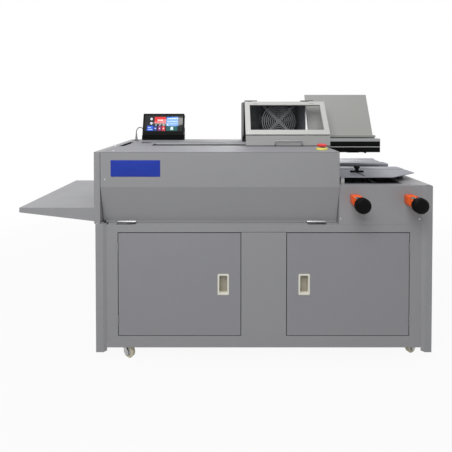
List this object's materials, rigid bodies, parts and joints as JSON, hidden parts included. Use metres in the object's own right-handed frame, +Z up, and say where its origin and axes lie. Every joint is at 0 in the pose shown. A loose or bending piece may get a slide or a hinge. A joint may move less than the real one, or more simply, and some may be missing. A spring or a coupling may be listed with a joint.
{
  "type": "perfect binding machine",
  "caption": "Floor-standing perfect binding machine on casters, with a clamp carriage, clear-lidded fume hood, touch panel, cover table, side tray and cabinet doors.",
  "frame": {"origin": "middle of the machine's outline on the floor", "axes": "+X to the machine's right as seen from the front, +Y to the rear, +Z up"},
  "size_m": [1.745, 0.665, 1.155],
  "materials": {
    "painted_grey": "satin powder coat",
    "frame_paint": "satin",
    "lid_silver": "satin",
    "steel": "brushed",
    "plate_steel": "satin",
    "aluminium": "satin",
    "black_metal": "satin",
    "black_plastic": "matt",
    "chrome": "polished",
    "clear": "clear",
    "screen": "gloss",
    "ivory": "satin",
    "orange": "gloss",
    "red": "gloss",
    "yellow": "satin",
    "grey_plastic": "matt",
    "rubber": "matt",
    "tyre": "matt"
  },
  "bodies": {
    "cabinet": {"base_frame": "frame_paint", "left_side_panel": "painted_grey", "right_side_panel": "painted_grey", "upper_left_cover": "painted_grey", "front_panel": "painted_grey", "rear_panel": "painted_grey", "apron_panel": "painted_grey", "deck_plate": "painted_grey", "side_tray": "painted_grey", "hinges": "steel", "carriage_beam": "aluminium", "drive_belt": "rubber", "carriage_motor": "black_metal", "fan_housing": "frame_paint", "fan_frame": "black_plastic", "fan_guard": "chrome", "book_guide": "painted_grey", "table_plates": "plate_steel", "table_base": "steel", "position_indicators": "orange", "stop_base": "yellow", "glue_tank": "steel", "milling_motor": "black_metal", "panel_stand": "black_metal", "panel_housing": "black_plastic", "touch_screen": "screen", "cable_gland": "grey_plastic", "panel_cable": "rubber", "caster_mounts": "steel", "mains_inlet": "black_plastic"},
    "left_door": {"left_door": "painted_grey", "left_door_pull": "ivory"},
    "right_door": {"right_door": "painted_grey", "right_door_pull": "ivory"},
    "front_cover": {"front_cover": "painted_grey"},
    "hood_lid": {"lid_frame": "lid_silver", "lid_pane": "clear", "lid_lip": "painted_grey", "lid_handle": "chrome"},
    "stop_button": {"stop_button": "red"},
    "carriage": {"carriage_body": "black_metal"},
    "front_jaw": {"front_jaw": "black_metal", "jaw_cap": "aluminium"},
    "drive_pulley": {"drive_pulley": "aluminium"},
    "idler_pulley": {"idler_pulley": "aluminium"},
    "front_nip_jaw": {"front_nip_jaw": "plate_steel"},
    "rear_nip_jaw": {"rear_nip_jaw": "plate_steel"},
    "left_handwheel": {"left_handwheel": "black_plastic"},
    "right_handwheel": {"right_handwheel": "black_plastic"},
    "cover_guide": {"cover_guide": "black_plastic"},
    "guide_knob": {"guide_knob": "black_plastic"},
    "fan_rotor": {"fan_rotor": "black_plastic"},
    "milling_cutter": {"milling_cutter": "steel"},
    "glue_roller": {"glue_roller": "steel"},
    "left_front_fork": {"left_front_fork": "steel"},
    "right_front_fork": {"right_front_fork": "steel"},
    "left_front_wheel": {"left_front_wheel": "tyre"},
    "right_front_wheel": {"right_front_wheel": "tyre"},
    "left_rear_wheel": {"left_rear_wheel": "tyre"},
    "right_rear_wheel": {"right_rear_wheel": "tyre"}
  },
  "joints": [
    {"name": "left_door_swing", "type": "hinge", "parent": "cabinet", "child": "left_door", "pos_m": [-0.449, -0.2403, 0.337], "axis": [0, 0, -1], "range_deg": [0, 110]},
    {"name": "right_door_swing", "type": "hinge", "parent": "cabinet", "child": "right_door", "pos_m": [0.783, -0.2403, 0.337], "axis": [0, 0, 1], "range_deg": [0, 110]},
    {"name": "front_cover_tilt", "type": "hinge", "parent": "cabinet", "child": "front_cover", "pos_m": [0.1665, -0.2125, 0.5945], "axis": [1, 0, 0], "range_deg": [0, 65]},
    {"name": "hood_lid_lift", "type": "hinge", "parent": "cabinet", "child": "hood_lid", "pos_m": [0.3035, 0.0575, 1.118], "axis": [-1, 0, 0], "range_deg": [0, 85]},
    {"name": "stop_press", "type": "slide", "parent": "cabinet", "child": "stop_button", "axis": [0, 0, -1], "range_m": [0, 0.0034], "stiffness_N_per_m": 1200},
    {"name": "carriage_travel", "type": "slide", "parent": "cabinet", "child": "carriage", "axis": [1, 0, 0], "range_m": [-0.78, 0]},
    {"name": "clamp_close", "type": "slide", "parent": "carriage", "child": "front_jaw", "axis": [0, 1, 0], "range_m": [0, 0.033]},
    {"name": "drive_pulley_spin", "type": "hinge", "parent": "cabinet", "child": "drive_pulley", "pos_m": [-0.4125, 0.1205, 0.89], "axis": [0, 0, 1], "range_deg": [-2140, 0]},
    {"name": "idler_pulley_spin", "type": "hinge", "parent": "cabinet", "child": "idler_pulley", "pos_m": [0.7415, 0.1205, 0.89], "axis": [0, 0, 1], "range_deg": [-2140, 0]},
    {"name": "front_nip_slide", "type": "slide", "parent": "cabinet", "child": "front_nip_jaw", "axis": [0, 1, 0], "range_m": [0, 0.03]},
    {"name": "rear_nip_slide", "type": "slide", "parent": "cabinet", "child": "rear_nip_jaw", "axis": [0, -1, 0], "range_m": [0, 0.03]},
    {"name": "left_handwheel_turn", "type": "hinge", "parent": "cabinet", "child": "left_handwheel", "pos_m": [0.5495, -0.2875, 0.695], "axis": [0, 1, 0], "range_deg": [0, 5410]},
    {"name": "right_handwheel_turn", "type": "hinge", "parent": "cabinet", "child": "right_handwheel", "pos_m": [0.7775, -0.2875, 0.695], "axis": [0, 1, 0], "range_deg": [0, 5410]},
    {"name": "guide_slide", "type": "slide", "parent": "cabinet", "child": "cover_guide", "axis": [0, -1, 0], "range_m": [0, 0.078]},
    {"name": "guide_knob_turn", "type": "hinge", "parent": "cover_guide", "child": "guide_knob", "pos_m": [0.6075, -0.1175, 0.803], "axis": [0, 0, 1], "range_deg": [0, 720]},
    {"name": "fan_spin", "type": "hinge", "parent": "cabinet", "child": "fan_rotor", "pos_m": [0.3035, 0.21321, 1.00754], "axis": [0, 0.9945, -0.1045], "continuous": true},
    {"name": "cutter_spin", "type": "hinge", "parent": "cabinet", "child": "milling_cutter", "pos_m": [0.2765, 0.0385, 0.839], "axis": [0, 0, 1], "continuous": true},
    {"name": "glue_roller_spin", "type": "hinge", "parent": "cabinet", "child": "glue_roller", "pos_m": [-0.0935, 0.0575, 0.812], "axis": [0, 1, 0], "continuous": true},
    {"name": "left_front_swivel", "type": "hinge", "parent": "cabinet", "child": "left_front_fork", "pos_m": [-0.4375, -0.1875, 0.07], "axis": [0, 0, 1], "continuous": true},
    {"name": "left_front_roll", "type": "hinge", "parent": "left_front_fork", "child": "left_front_wheel", "pos_m": [-0.41325, -0.2015, 0.027], "axis": [0.5, 0.866, 0], "continuous": true},
    {"name": "right_front_swivel", "type": "hinge", "parent": "cabinet", "child": "right_front_fork", "pos_m": [0.8025, -0.1875, 0.07], "axis": [0, 0, 1], "continuous": true},
    {"name": "right_front_roll", "type": "hinge", "parent": "right_front_fork", "child": "right_front_wheel", "pos_m": [0.82675, -0.1735, 0.027], "axis": [-0.5, 0.866, 0], "continuous": true},
    {"name": "left_rear_roll", "type": "hinge", "parent": "cabinet", "child": "left_rear_wheel", "pos_m": [-0.4095, 0.2425, 0.027], "axis": [0, 1, 0], "continuous": true},
    {"name": "right_rear_roll", "type": "hinge", "parent": "cabinet", "child": "right_rear_wheel", "pos_m": [0.8305, 0.2425, 0.027], "axis": [0, 1, 0], "continuous": true}
  ],
  "couplings": [
    {"joint": "drive_pulley_spin", "follows": "carriage_travel", "rad_per_m": 47.506},
    {"joint": "idler_pulley_spin", "follows": "carriage_travel", "rad_per_m": 47.506},
    {"joint": "left_handwheel_turn", "follows": "front_nip_slide", "rad_per_m": 3141.6},
    {"joint": "right_handwheel_turn", "follows": "rear_nip_slide", "rad_per_m": 3141.6}
  ]
}
